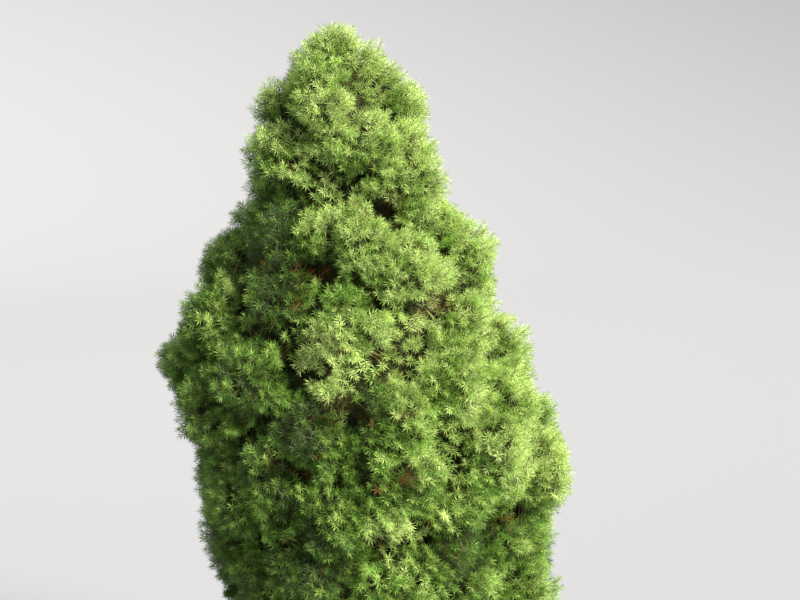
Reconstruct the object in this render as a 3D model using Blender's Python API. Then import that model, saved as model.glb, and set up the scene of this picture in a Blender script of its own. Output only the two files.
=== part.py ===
"""A dwarf conifer in a plain clay pot: pot, potting mix, trunk, boughs and dense masses of needles.

Metres, +Z up. The origin is the middle of the pot's flat underside, and the crown is seen along +Y.
"""

import math

import bmesh
import bpy
import numpy as np
from mathutils import Matrix, Vector

# Pot
POT_HEIGHT = 0.300
POT_BASE_RADIUS = 0.130
POT_NECK_RADIUS = 0.172
POT_RIM_RADIUS = 0.186
POT_BAND = 0.052
POT_WALL = 0.013
POT_FLOOR = 0.016
POT_ROUND = 0.005
POT_RIM_WALL = 0.0176
POT_EASE = 0.4
POT_SIDES = 28
DRAIN_COUNT = 5
DRAIN_RADIUS = 0.007
DRAIN_SIDES = 8
DRAIN_CIRCLE = 0.068
DRAIN_TURN = 0.35

# Clearance left wherever one piece sits on or in another
SEAT = 0.0003

# Potting mix
SOIL_LEVEL = 0.274
SOIL_DISH = 0.006
SOIL_MOUND_RADIUS = 0.060

# Trunk
TRUNK_RADIUS = 0.0185
TRUNK_TIP_RADIUS = 0.0042
TRUNK_TOP = 1.080
TRUNK_SIDES = 9
FLARE_RADIUS = 0.014
FLARE_HEIGHT = 0.030
FLARE_LOBES = 4
FLARE_LOBE_DEPTH = 0.45
FLARE_RINGS = (0.0, 0.007, 0.016, 0.032)
SHAFT_RINGS = 11
LEAN_X = -0.084
LEAN_Y = 0.012
SWAY = 0.004

# Crown: each tier's name, height of its masses, reach of its tips, number of masses, first azimuth
# in degrees from +X, and the slope of its boughs, which is None where its stems meet the trunk
TIERS = (
    ("skirt", 0.382, 0.240, 5, -62.0, 6.0),
    ("low", 0.492, 0.258, 6, -28.0, 10.0),
    ("belly", 0.602, 0.272, 6, 2.0, 14.0),
    ("waist", 0.718, 0.258, 5, -52.0, 18.0),
    ("shoulder", 0.834, 0.222, 4, -2.0, None),
    ("neck", 0.948, 0.168, 3, -42.0, None),
    ("cap", 1.052, 0.138, 3, 18.0, None),
)
TIER_GAP = 0.114
CROWN_FOOT = 0.300
CROWN_FOOT_REACH = 0.190
CROWN_TOP = 1.206
DOME_HEIGHT = 1.140
DOME_REACH = 0.095
TIP_REACH = 0.030

# Where the crown swells or draws in: azimuth, height, spread in degrees, spread in height, share
BULGES = (
    (0.0, 0.400, 30.0, 0.050, 0.14),
    (2.0, 0.570, 24.0, 0.040, 0.24),
    (0.0, 0.650, 25.0, 0.030, 0.12),
    (0.0, 0.720, 30.0, 0.050, 0.02),
    (0.0, 0.820, 30.0, 0.035, 0.08),
    (0.0, 0.940, 40.0, 0.040, 0.05),
    (0.0, 1.065, 45.0, 0.030, 0.12),
    (180.0, 0.615, 26.0, 0.034, -0.17),
    (180.0, 0.780, 45.0, 0.090, 0.15),
    (180.0, 0.900, 35.0, 0.040, 0.10),
    (180.0, 0.985, 40.0, 0.035, -0.14),
)

# Lumps, the rounded heads of shoots that each mass is made of
SEED = 11
WIDEST_REACH = 0.270
LUMP_RADIUS = 0.069
LUMP_RANGE = (0.84, 1.10)
LUMPS_PER_MASS = 3
LUMP_ZIGZAG = 0.23
LUMP_SHIFT = 0.05
LUMP_RISE = 0.09
LUMP_REACH = (0.95, 1.03)
TOP_LUMPS = 3
TOP_LUMP_RANGE = (0.88, 1.0)
TOP_LUMP_TURN = 20.0
TOP_LUMP_SHIFT = 8.0
TOP_LUMP_RISE = 0.008
TOP_LUMP_RADIUS = 0.052
TOP_LUMP_OFFSET = 0.044
TOP_LUMP_HEIGHT = 1.120

# Masses: core, stem, and sprays of needles on three-sided twigs
CORE_CORNERS = 84
CORE_DEPTH = 0.014
CREVICE_DEPTH = 0.034
CORE_SPREAD = 0.034
CORE_GAP = 0.0035
CORE_SEAM = 0.0015
CORE_TRIM = 0.96
CORE_TRIMS = 30
CORE_STEP = 0.002
CORE_LIMIT = 0.200
CORE_SPIKE = 1.25
CORE_LIMB_GAP = 0.017
BOUGH_RADIUS = 0.0072
BOUGH_TIP_RADIUS = 0.0042
BOUGH_SIDES = 6
BOUGH_RINGS = 4
BOUGH_REACH = 0.60
BOUGH_SAG = 0.010
STEM_RADIUS = 0.0040
STEM_TIP_RADIUS = 0.0022
STEM_SIDES = 5
STEM_STRAIGHT = 0.006
STEM_SLOPE = 0.6
SPRAYS_PER_MASS = 7
SPRAY_SPACING = 0.030
SPRAY_TRIALS = 240
SPRAY_LENGTH = 0.030
SPRAY_RADIUS = 0.0038
SPRAY_RINGS = (0.80, 0.42, 0.14)
SPRAY_SINK = 0.016
SPRAY_DEPTH = 0.085
NEEDLE_LENGTH = 0.022
NEEDLE_RANGE = (0.85, 1.10)
NEEDLE_LEAN = (0.35, 0.75)
NEEDLE_GAP = 0.002
SPRAY_ROOM = 0.005

CLAY = ("clay", (0.50, 0.20, 0.10, 1), 0.80)
MIX = ("potting_mix", (0.045, 0.028, 0.018, 1), 0.95)
BARK = ("bark", (0.16, 0.10, 0.065, 1), 0.85)
NEEDLES = ("needles", (0.17, 0.28, 0.07, 1), 0.55)


def clear_scene():
    for obj in list(bpy.data.objects):
        bpy.data.objects.remove(obj, do_unlink=True)


def material(finish):
    name, colour, roughness = finish
    made = bpy.data.materials.get(name)
    if made is None:
        made = bpy.data.materials.new(name)
        made.use_nodes = True
        shader = made.node_tree.nodes["Principled BSDF"]
        shader.inputs["Base Color"].default_value = colour
        shader.inputs["Roughness"].default_value = roughness
        shader.inputs["Metallic"].default_value = 0.0
    return made


def add_object(name, points, faces, finish, smooth_deg=None):
    """A mesh object at the origin, from points in metres and faces that point out."""
    mesh = bpy.data.meshes.new(name)
    mesh.from_pydata([tuple(map(float, p)) for p in points], [], [tuple(f) for f in faces])
    mesh.update()
    obj = bpy.data.objects.new(name, mesh)
    bpy.context.scene.collection.objects.link(obj)
    mesh.materials.append(material(finish))
    if smooth_deg is not None:
        mesh.shade_smooth()
        mesh.set_sharp_from_angle(angle=math.radians(smooth_deg))
    return obj


def keep_largest_island(mesh):
    """Drops loose scraps, and the inner shell of any hollow that a union sealed."""
    bm = bmesh.new()
    bm.from_mesh(mesh)
    left = set(bm.verts)
    islands = []
    while left:
        stack = [left.pop()]
        island = list(stack)
        while stack:
            for edge in stack.pop().link_edges:
                for vert in edge.verts:
                    if vert in left:
                        left.discard(vert)
                        stack.append(vert)
                        island.append(vert)
        islands.append(island)
    islands.sort(key=len)
    for island in islands[:-1]:
        bmesh.ops.delete(bm, geom=island, context="VERTS")
    bm.to_mesh(mesh)
    bm.free()


def apply_boolean(obj, operation, other=None, collection=None):
    modifier = obj.modifiers.new(operation.title(), "BOOLEAN")
    modifier.operation = operation
    modifier.solver = "EXACT"
    if collection is None:
        modifier.object = other
    else:
        modifier.operand_type = "COLLECTION"
        modifier.collection = collection
    with bpy.context.temp_override(object=obj, active_object=obj):
        bpy.ops.object.modifier_apply(modifier=modifier.name)


def lathe(profile, sides):
    """Points and faces of (radius, height) pairs turned about Z, outside upwards, poles on the axis."""
    points, faces, rings = [], [], []
    for radius, height in profile:
        if radius < 1e-9:
            rings.append([len(points)])
            points.append((0.0, 0.0, height))
            continue
        rings.append(list(range(len(points), len(points) + sides)))
        for side in range(sides):
            angle = 2 * math.pi * side / sides
            points.append((radius * math.cos(angle), radius * math.sin(angle), height))
    for low, high in zip(rings, rings[1:]):
        for side in range(sides):
            after = (side + 1) % sides
            if len(low) == 1:
                faces.append((low[0], high[after], high[side]))
            elif len(high) == 1:
                faces.append((low[side], low[after], high[0]))
            else:
                faces.append((low[side], low[after], high[after], high[side]))
    return points, faces


def tube(line, radii, sides, lobes=None):
    """Points and faces of a closed tube along a line of points. lobes(ring, angle) scales its radius."""
    line = [Vector(p) for p in line]
    points, faces = [], []
    across = Vector((1, 0, 0))
    for ring, centre in enumerate(line):
        ahead = line[min(ring + 1, len(line) - 1)] - line[max(ring - 1, 0)]
        ahead.normalize()
        across = (across - ahead * across.dot(ahead)).normalized()
        beside = ahead.cross(across)
        for side in range(sides):
            angle = 2 * math.pi * side / sides
            radius = radii[ring] * (lobes(ring, angle) if lobes else 1.0)
            points.append(centre + (across * math.cos(angle) + beside * math.sin(angle)) * radius)
    for ring in range(len(line) - 1):
        for side in range(sides):
            after = (side + 1) % sides
            low, high = ring * sides, (ring + 1) * sides
            faces.append((low + side, low + after, high + after, high + side))
    faces.append(tuple(reversed(range(sides))))
    faces.append(tuple(range(len(points) - sides, len(points))))
    return points, faces


def inner_radius(height):
    """Inside of the pot's wall at a height."""
    share = (height - POT_FLOOR) / (POT_HEIGHT - POT_FLOOR)
    foot = POT_BASE_RADIUS - POT_WALL
    return foot + (POT_RIM_RADIUS - POT_RIM_WALL - foot) * share


def make_pot():
    band_foot = POT_HEIGHT - POT_BAND
    profile = [
        (0.0, 0.0),
        (POT_BASE_RADIUS - POT_ROUND, 0.0),
        (POT_BASE_RADIUS, POT_ROUND),
        (POT_NECK_RADIUS, band_foot),
        (POT_RIM_RADIUS - POT_ROUND * POT_EASE, band_foot + POT_ROUND * POT_EASE),
        (POT_RIM_RADIUS, band_foot + POT_ROUND),
        (POT_RIM_RADIUS, POT_HEIGHT - POT_ROUND),
        (POT_RIM_RADIUS - POT_ROUND, POT_HEIGHT),
        (inner_radius(POT_HEIGHT) + POT_ROUND * POT_EASE, POT_HEIGHT),
        (inner_radius(POT_HEIGHT - POT_ROUND), POT_HEIGHT - POT_ROUND),
        (inner_radius(POT_FLOOR), POT_FLOOR),
        (0.0, POT_FLOOR),
    ]
    pot = add_object("pot", *lathe(profile, POT_SIDES), CLAY, smooth_deg=30)
    for hole in range(DRAIN_COUNT):
        angle = 2 * math.pi * (hole + DRAIN_TURN) / DRAIN_COUNT
        low, high = -POT_FLOOR, 2 * POT_FLOOR
        plug = [(0.0, low), (DRAIN_RADIUS, low), (DRAIN_RADIUS, high), (0.0, high)]
        cutter = add_object("drain_cutter", *lathe(plug, DRAIN_SIDES), CLAY)
        cutter.data.transform(
            Matrix.Translation((DRAIN_CIRCLE * math.cos(angle), DRAIN_CIRCLE * math.sin(angle), 0))
        )
        apply_boolean(pot, "DIFFERENCE", cutter)
        bpy.data.objects.remove(cutter)


def make_soil():
    floor = POT_FLOOR + SEAT
    edge = SOIL_LEVEL - SOIL_DISH
    wall_seat = SEAT * 1.5
    profile = [
        (0.0, floor),
        (inner_radius(floor) - wall_seat, floor),
        (inner_radius(edge) - wall_seat, edge),
        (SOIL_MOUND_RADIUS, SOIL_LEVEL),
        (0.0, SOIL_LEVEL),
    ]
    add_object("potting_mix", *lathe(profile, POT_SIDES), MIX, smooth_deg=30)


def axis_at(height):
    """The trunk's line, which is also the crown's middle, at one height or several."""
    height = np.asarray(height, float)
    share = np.clip((height - SOIL_LEVEL) / (CROWN_TOP - SOIL_LEVEL), 0, 1)
    sway = SWAY * np.sin(3 * math.pi * share) * share
    return np.stack([LEAN_X * share**0.8 + sway, LEAN_Y * share - sway, height], -1)


def trunk_radius(height):
    share = np.clip((TRUNK_TOP - height) / (TRUNK_TOP - SOIL_LEVEL), 0, 1)
    return TRUNK_TIP_RADIUS + (TRUNK_RADIUS - TRUNK_TIP_RADIUS) * share**0.9


def trunk_mesh(extra):
    """The trunk's points and faces, grown by extra all round and at its ends."""
    foot = SOIL_LEVEL + SEAT
    heights = [foot + up for up in FLARE_RINGS]
    heights += list(np.linspace(foot + 2 * FLARE_HEIGHT, TRUNK_TOP, SHAFT_RINGS))
    heights[0] -= extra
    heights[-1] += extra
    flare = [FLARE_RADIUS * max(0.0, 1 - (h - foot) / FLARE_HEIGHT) ** 2 for h in heights]
    radii = [float(trunk_radius(h)) + f + extra for h, f in zip(heights, flare)]

    def lobes(ring, angle):
        return 1 + FLARE_LOBE_DEPTH * flare[ring] / radii[ring] * math.cos(FLARE_LOBES * angle)

    line = axis_at(np.array(heights))
    points, faces = tube(line, radii, TRUNK_SIDES, lobes)
    for point in points[:TRUNK_SIDES]:
        point.z = heights[0]
    for point in points[-TRUNK_SIDES:]:
        point.z = heights[-1]
    return points, faces


def make_trunk():
    add_object("trunk", *trunk_mesh(0.0), BARK, smooth_deg=50)


def reach(azimuth, height):
    """How far the crown's tips stand from its middle line, at an azimuth in degrees."""
    heights = [CROWN_FOOT] + [tier[1] for tier in TIERS] + [DOME_HEIGHT, CROWN_TOP]
    reaches = [CROWN_FOOT_REACH] + [tier[2] for tier in TIERS] + [DOME_REACH, TIP_REACH]
    swell = 1.0
    for middle, level, spread, tall, share in BULGES:
        turn = (azimuth - middle + 180) % 360 - 180
        swell = swell + share * np.exp(-((turn / spread) ** 2) - ((height - level) / tall) ** 2)
    return np.interp(height, heights, reaches) * swell


def depth_under_crown(points):
    """How far each point lies inside the crown's tips, sideways or down from the top."""
    out = points - axis_at(points[:, 2])
    azimuth = np.degrees(np.arctan2(out[:, 1], out[:, 0]))
    sideways = reach(azimuth, points[:, 2]) - np.linalg.norm(out[:, :2], axis=1)
    return np.minimum(sideways, CROWN_TOP - points[:, 2])


def grow_lumps():
    """The crown's lumps by mass, as [(mass name, tier, [(centre, radius), ...])]. Rings of lumps
    zigzag up and down round each tier, and the top has a ring of its own round one at the tip."""
    rng = np.random.default_rng(SEED)
    masses = []
    for tier, (name, level, tips, count, first, _) in enumerate(TIERS):
        pitch = 360 / count
        for k in range(count):
            middle = first + k * pitch + rng.uniform(-LUMP_SHIFT, LUMP_SHIFT) * pitch
            lumps = []
            for i in range(LUMPS_PER_MASS):
                rise = LUMP_ZIGZAG if (LUMPS_PER_MASS * k + i) % 2 else -LUMP_ZIGZAG
                spread = (i - (LUMPS_PER_MASS - 1) / 2) / LUMPS_PER_MASS
                azimuth = middle + (spread + rng.uniform(-LUMP_SHIFT, LUMP_SHIFT)) * pitch
                height = level + (rise + rng.uniform(-LUMP_RISE, LUMP_RISE)) * TIER_GAP
                radius = LUMP_RADIUS * (tips / WIDEST_REACH) ** 0.4 * rng.uniform(*LUMP_RANGE)
                out = reach(azimuth, height) * rng.uniform(*LUMP_REACH) - radius
                turn = math.radians(azimuth)
                centre = axis_at(height) + [out * math.cos(turn), out * math.sin(turn), 0]
                lumps.append((centre, radius))
            masses.append((f"foliage_{name}_{k + 1}", tier, lumps))
    lumps = []
    for k in range(TOP_LUMPS):
        shift = rng.uniform(-TOP_LUMP_SHIFT, TOP_LUMP_SHIFT)
        turn = math.radians(TOP_LUMP_TURN + 360 / TOP_LUMPS * k + shift)
        radius = TOP_LUMP_RADIUS * rng.uniform(*TOP_LUMP_RANGE)
        centre = axis_at(TOP_LUMP_HEIGHT + rng.uniform(-TOP_LUMP_RISE, TOP_LUMP_RISE))
        centre = centre + [TOP_LUMP_OFFSET * math.cos(turn), TOP_LUMP_OFFSET * math.sin(turn), 0]
        lumps.append((centre, radius))
    lumps.append((axis_at(CROWN_TOP - TOP_LUMP_RADIUS), TOP_LUMP_RADIUS))
    masses.append(("foliage_top", len(TIERS), lumps))
    return masses


def bough_line(mass_centre, slope):
    """From the trunk's middle up to where the mass begins, as a sagging curve of BOUGH_RINGS points."""
    level = mass_centre[2]
    flat = np.linalg.norm((mass_centre - axis_at(level))[:2])
    start = axis_at(level - flat * math.tan(math.radians(slope)))
    end = start + (mass_centre - start) * BOUGH_REACH
    middle = (start + end) / 2 - [0, 0, BOUGH_SAG]
    shares = np.linspace(0, 1, BOUGH_RINGS)[:, None]
    return (1 - shares) ** 2 * start + 2 * shares * (1 - shares) * middle + shares**2 * end


class Crown:
    """The lumps with the limbs between them, and what space each mass has."""

    def __init__(self):
        self.masses = grow_lumps()
        self.centres = np.array([c for _, _, lumps in self.masses for c, _ in lumps])
        self.radii = np.array([r for _, _, lumps in self.masses for _, r in lumps])
        self.owner = np.array([m for m, (_, _, lumps) in enumerate(self.masses) for _ in lumps])
        self.middles = [self.centres[self.owner == m].mean(0) for m in range(len(self.masses))]
        self.limbs = []
        self.boughs = {}
        line = axis_at(np.linspace(SOIL_LEVEL, TRUNK_TOP, 24))
        self.add_limb(line, trunk_radius(line[:, 2]))
        for m, (_, tier, _) in enumerate(self.masses):
            slope = TIERS[tier][5] if tier < len(TIERS) else None
            if slope is not None:
                line = bough_line(self.middles[m], slope)
                radii = np.linspace(BOUGH_RADIUS, BOUGH_TIP_RADIUS, BOUGH_RINGS)
                self.boughs[m] = (line, radii)
                self.add_limb(line, radii)

    def add_limb(self, line, radii):
        for k in range(len(line) - 1):
            self.limbs.append((line[k], line[k + 1], max(radii[k], radii[k + 1])))

    def room(self, mass, points):
        """How far each point lies inside the mass's own space, from its nearest wall: the planes of
        equal power between its lumps and those of other masses."""
        power = ((points[:, None] - self.centres) ** 2).sum(2) - self.radii**2
        own = np.flatnonzero(self.owner == mass)
        others = np.flatnonzero(self.owner != mass)
        apart = np.linalg.norm(self.centres[own][:, None] - self.centres[others], axis=2)
        depth = (power[:, None, others] - power[:, own][:, :, None]) / (2 * apart)
        return depth.max(1).min(1)

    def limb_gap(self, points):
        """Distance of each point from the nearest trunk or bough surface."""
        nearest = np.full(len(points), 1.0)
        for start, end, radius in self.limbs:
            along = end - start
            share = np.clip((points - start) @ along / (along @ along), 0, 1)
            away = np.linalg.norm(points - start - share[:, None] * along, axis=1) - radius
            nearest = np.minimum(nearest, away)
        return nearest

    def outside_gap(self, mass, points):
        """How far each point stands outside the mass's own lumps, less than 0 inside them."""
        own = self.owner == mass
        away = np.linalg.norm(points[:, None] - self.centres[own], axis=2) - self.radii[own]
        return away.min(1)

    def inner_plane(self, mass):
        """A point and an outward direction: the mass lies wholly beyond that plane, clear of the
        bough or trunk that carries it."""
        middle = self.middles[mass]
        if mass in self.boughs:
            line = self.boughs[mass][0]
            ahead = line[-1] - line[-2]
            return line[-1], ahead / np.linalg.norm(ahead)
        if middle[2] > TRUNK_TOP:
            return axis_at(TRUNK_TOP), np.array([0.0, 0.0, 1.0])
        out = middle - axis_at(middle[2])
        out /= np.linalg.norm(out)
        return axis_at(middle[2]) + out * trunk_radius(middle[2]), out

    def exit_distance(self, mass, directions):
        """How far it is from the mass's middle to the outside of its lumps, along each direction."""
        from_middle = self.centres[self.owner == mass] - self.middles[mass]
        radii = self.radii[self.owner == mass]
        along = directions @ from_middle.T
        inside = along**2 - (from_middle**2).sum(1) + radii**2
        return (along + np.sqrt(np.maximum(inside, 0))).max(1)

    def pot_gap(self, points):
        """Distance of each point from the pot, taken as one solid drum, either above or beside it."""
        return np.maximum(points[:, 2] - POT_HEIGHT, np.hypot(points[:, 0], points[:, 1]) - POT_RIM_RADIUS)

    def fits(self, mass, points, gap):
        clear = np.minimum(self.limb_gap(points), self.pot_gap(points))
        return (self.room(mass, points) > gap) & (clear > gap)


def golden_directions(count):
    """Directions spread evenly all round by the golden angle."""
    k = np.arange(count)
    up = 1 - (2 * k + 1) / count
    turn = k * math.pi * (3 - math.sqrt(5))
    flat = np.sqrt(1 - up**2)
    return np.stack([flat * np.cos(turn), flat * np.sin(turn), up], -1)


def star_directions():
    """The directions of a core's corners, and the triangles that their hull has."""
    directions = golden_directions(CORE_CORNERS)
    bm = bmesh.new()
    corners = [bm.verts.new(direction) for direction in directions]
    bm.verts.index_update()
    bmesh.ops.convex_hull(bm, input=corners)
    bmesh.ops.recalc_face_normals(bm, faces=bm.faces)
    faces = [tuple(v.index for v in f.verts) for f in bm.faces]
    bm.free()
    return directions, faces


def core_points(crown, mass, directions, faces):
    """The core's corners. Each is as far out from the mass's middle as stays some depth under the
    mass's own lumps, or deep under the whole crown's surface, inside the mass's own space."""
    middle = crown.middles[mass]
    plane, ahead = crown.inner_plane(mass)
    steps = np.arange(CORE_STEP, CORE_LIMIT, CORE_STEP)
    length = []
    for direction in directions:
        points = middle + direction * steps[:, None]
        gap = crown.outside_gap(mass, points)
        inside = (gap < -CORE_DEPTH) | ((depth_under_crown(points) > CREVICE_DEPTH) & (gap < CORE_SPREAD))
        inside &= (crown.room(mass, points) > CORE_GAP) & (crown.limb_gap(points) > CORE_LIMB_GAP)
        inside &= (points - plane) @ ahead > CORE_GAP
        inside &= points[:, 2] > POT_HEIGHT + CORE_GAP
        length.append(steps[np.argmin(inside)])
    length = np.array(length)
    typical = []
    for corner in range(len(length)):
        near = {i for face in faces if corner in face for i in face} - {corner}
        typical.append(length[list(near)].mean())
    length = np.minimum(length, np.array(typical) * CORE_SPIKE)
    return middle + directions * trim_core(crown, mass, directions, faces, length)[:, None]


def trim_core(crown, mass, directions, faces, length):
    """The corners' lengths, drawn in step by step until no face cuts across a wall of the mass's
    space or comes near a limb. Each face is tested at its middle and at points round it."""
    triangles = np.array(faces)
    near, far = 2 / 3, 1 / 6
    shares = [(1 / 3, 1 / 3, 1 / 3), (near, far, far), (far, near, far), (far, far, near)]
    shares += [(0.5, 0.5, 0.0), (0.5, 0.0, 0.5), (0.0, 0.5, 0.5)]
    for _ in range(CORE_TRIMS):
        corners = (crown.middles[mass] + directions * length[:, None])[triangles]
        points = np.einsum("sc,fcx->fsx", np.array(shares), corners).reshape(-1, 3)
        good = (crown.room(mass, points) > CORE_SEAM) & (crown.limb_gap(points) > CORE_LIMB_GAP / 2)
        bad = ~good.reshape(len(triangles), -1).all(1)
        if not bad.any():
            break
        length[np.unique(triangles[bad])] *= CORE_TRIM
    return length


def spray_places(crown, mass):
    """Ends of sprays on the mass's outside, each the farthest that is left from those before it:
    (tip, direction) pairs."""
    middle = crown.middles[mass]
    directions = golden_directions(SPRAY_TRIALS)
    tips = middle + directions * crown.exit_distance(mass, directions)[:, None]
    depth = depth_under_crown(tips)
    good = (depth < SPRAY_DEPTH) & crown.fits(mass, tips, SPRAY_ROOM)
    order = np.flatnonzero(good)
    chosen = [order[np.argmin(depth[order])]]
    while len(chosen) < SPRAYS_PER_MASS:
        apart = np.linalg.norm(tips[order][:, None] - tips[chosen], axis=2).min(1)
        if apart.max() < SPRAY_SPACING:
            break
        chosen.append(order[np.argmax(apart)])
    return [(tips[i], directions[i]) for i in chosen]


def spray_mesh(crown, mass, tip, direction, core_length, rng):
    """One spray: a three-sided twig rooted in the core, a slim head of two rings and a point, and
    a needle drawn out of each of the head's faces that has room for it."""
    across = np.cross(direction, [0, 1, 0] if abs(direction[2]) > 0.8 else [0, 0, 1])
    across /= np.linalg.norm(across)
    beside = np.cross(direction, across)
    turn = rng.uniform(0, 2 * math.pi)

    def ring(back, radius, phase):
        angles = turn + phase + np.arange(3) * 2 * math.pi / 3
        sides = np.cos(angles)[:, None] * across + np.sin(angles)[:, None] * beside
        return tip - direction * back + sides * radius

    inward = np.linalg.norm(tip - crown.middles[mass])
    root = min(max(SPRAY_LENGTH, inward - core_length) + SPRAY_SINK, inward)
    low, high, apex = (SPRAY_LENGTH * back for back in SPRAY_RINGS)
    points = [tip - direction * root]
    points += list(ring(low, SPRAY_RADIUS, 0.0))
    points += list(ring(high, SPRAY_RADIUS, math.pi / 3))
    points.append(tip - direction * apex)
    if not crown.fits(mass, np.array(points), NEEDLE_GAP).all():
        return None
    made, faces = [], []
    for k in range(3):
        after = (k + 1) % 3
        made += [(0, 1 + after, 1 + k), (4 + k, 4 + after, 7)]
        faces += [(1 + k, 1 + after, 4 + k), (1 + after, 4 + after, 4 + k)]
    for face in faces:
        corners = np.array([points[i] for i in face])
        middle = corners.mean(0)
        outward = np.cross(corners[1] - corners[0], corners[2] - corners[0])
        outward /= np.linalg.norm(outward)
        lean = outward + direction * rng.uniform(*NEEDLE_LEAN)
        lean /= np.linalg.norm(lean)
        end = middle + lean * NEEDLE_LENGTH * rng.uniform(*NEEDLE_RANGE)
        path = middle + (end - middle) * np.linspace(0.3, 1, 5)[:, None]
        if crown.fits(mass, path, NEEDLE_GAP).all():
            points.append(end)
            tip_index = len(points) - 1
            made += [(face[k], face[(k + 1) % 3], tip_index) for k in range(3)]
        else:
            made.append(face)
    return points, made


def make_mass(crown, mass, grown_trunk):
    name, _, _ = crown.masses[mass]
    rng = np.random.default_rng(SEED + 100 * mass)
    directions, faces = star_directions()
    corners = core_points(crown, mass, directions, faces)
    middle = crown.middles[mass]
    core = add_object(name, corners, faces, NEEDLES)
    lengths = np.linalg.norm(corners - middle, axis=1)
    parts = bpy.data.collections.new("parts_of_" + name)
    bpy.context.scene.collection.children.link(parts)

    def add_part(label, points, part_faces):
        part = add_object(label, points, part_faces, NEEDLES)
        bpy.context.scene.collection.objects.unlink(part)
        parts.objects.link(part)

    for tip, direction in spray_places(crown, mass):
        nearest = directions @ direction
        core_length = lengths[np.argsort(nearest)[-3:]].min()
        spray = spray_mesh(crown, mass, tip, direction, core_length, rng)
        if spray:
            add_part("spray", *spray)
    add_part("stem", *stem_mesh(crown, mass))
    apply_boolean(core, "UNION", collection=parts)
    for part in list(parts.objects):
        bpy.data.objects.remove(part)
    bpy.data.collections.remove(parts)
    if mass not in crown.boughs:
        apply_boolean(core, "DIFFERENCE", grown_trunk)
    keep_largest_island(core.data)


def stem_mesh(crown, mass):
    """The stem that carries the mass: from its bough's tip, or from the trunk, to its middle."""
    middle = crown.middles[mass]
    if mass in crown.boughs:
        line, radii = crown.boughs[mass]
        ahead = line[-1] - line[-2]
        ahead /= np.linalg.norm(ahead)
        start = line[-1] + ahead * SEAT
        straight = start + ahead * STEM_STRAIGHT
        return tube([start, straight, middle], [radii[-1], radii[-1], STEM_TIP_RADIUS], STEM_SIDES)
    drop = np.linalg.norm((middle - axis_at(middle[2]))[:2]) * STEM_SLOPE
    start = axis_at(min(middle[2] - drop, TRUNK_TOP - STEM_RADIUS))
    return tube([start, middle], [STEM_RADIUS, STEM_TIP_RADIUS], STEM_SIDES)


def make_boughs(crown, grown_trunk):
    for mass, (line, radii) in crown.boughs.items():
        name = crown.masses[mass][0].replace("foliage", "bough")
        bough = add_object(name, *tube(line, radii, BOUGH_SIDES), BARK, smooth_deg=50)
        apply_boolean(bough, "DIFFERENCE", grown_trunk)
        keep_largest_island(bough.data)


def main():
    clear_scene()
    make_pot()
    make_soil()
    make_trunk()
    crown = Crown()
    grown_trunk = add_object("grown_trunk", *trunk_mesh(SEAT * 1.2), BARK)
    make_boughs(crown, grown_trunk)
    for mass in range(len(crown.masses)):
        make_mass(crown, mass, grown_trunk)
    bpy.data.objects.remove(grown_trunk)


main()
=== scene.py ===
# A dwarf spruce in a clay pot: needles, twigs, bark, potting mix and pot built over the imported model.
import bpy
import math
import numpy as np
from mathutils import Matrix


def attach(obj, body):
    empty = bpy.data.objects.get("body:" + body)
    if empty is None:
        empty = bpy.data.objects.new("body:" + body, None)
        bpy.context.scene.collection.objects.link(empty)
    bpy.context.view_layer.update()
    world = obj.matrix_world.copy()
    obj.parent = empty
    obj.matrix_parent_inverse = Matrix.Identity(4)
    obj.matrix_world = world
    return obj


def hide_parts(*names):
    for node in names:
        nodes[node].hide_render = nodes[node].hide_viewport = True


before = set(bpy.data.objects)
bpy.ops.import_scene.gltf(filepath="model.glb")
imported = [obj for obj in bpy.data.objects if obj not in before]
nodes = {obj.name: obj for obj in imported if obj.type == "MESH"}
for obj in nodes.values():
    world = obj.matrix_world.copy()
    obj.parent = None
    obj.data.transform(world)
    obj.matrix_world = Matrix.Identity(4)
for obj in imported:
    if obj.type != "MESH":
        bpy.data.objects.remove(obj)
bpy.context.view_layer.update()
foliageNodes = sorted(n for n in nodes if n.startswith("foliage"))
boughNodes = sorted(n for n in nodes if n.startswith("bough"))
print("frame loaded,", len(nodes), "nodes")


# Helpers

def linear(hexColour):
    # sRGB hex to linear: below 0.04045 a straight share, above it a power of 2.4
    srgb = np.array([int(hexColour[i:i + 2], 16) for i in (1, 3, 5)]) / 255
    return tuple(np.where(srgb <= 0.04045, srgb / 12.92, ((srgb + 0.055) / 1.055) ** 2.4)) + (1.0,)


def addNode(tree, kind, links=None, stops=(), **settings):
    # one node with its settings: names of sockets go to inputs, others are the node's own. Links go to
    # sockets by name, or by number where names repeat, and a ramp has colour stops: (place, hex)
    node = tree.nodes.new(kind)
    for key, value in settings.items():
        socket = node.inputs.get(key.replace("_", " "))
        if socket is not None:
            socket.default_value = value
        else:
            setattr(node, key, value)
    for k, (place, colour) in enumerate(stops):
        elements = node.color_ramp.elements
        stop = elements[k] if k < 2 else elements.new(place)  # a new ramp has two
        stop.position, stop.color = place, linear(colour)
    for socket, source in (links or {}).items():
        tree.links.new(source, node.inputs[socket])
    return node


def newMaterial(name, **settings):
    # a material whose own numbers and colours are set on the shader's sockets
    material = bpy.data.materials.new(name)
    material.use_nodes = True
    shader = material.node_tree.nodes["Principled BSDF"]
    for key, value in settings.items():
        shader.inputs[key.replace("_", " ")].default_value = value
    return material, material.node_tree, shader


def perMetre(millimetres):
    # a pattern's scale: how many of its cells, each this many millimetres across, one metre holds
    return 1000 / millimetres


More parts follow.
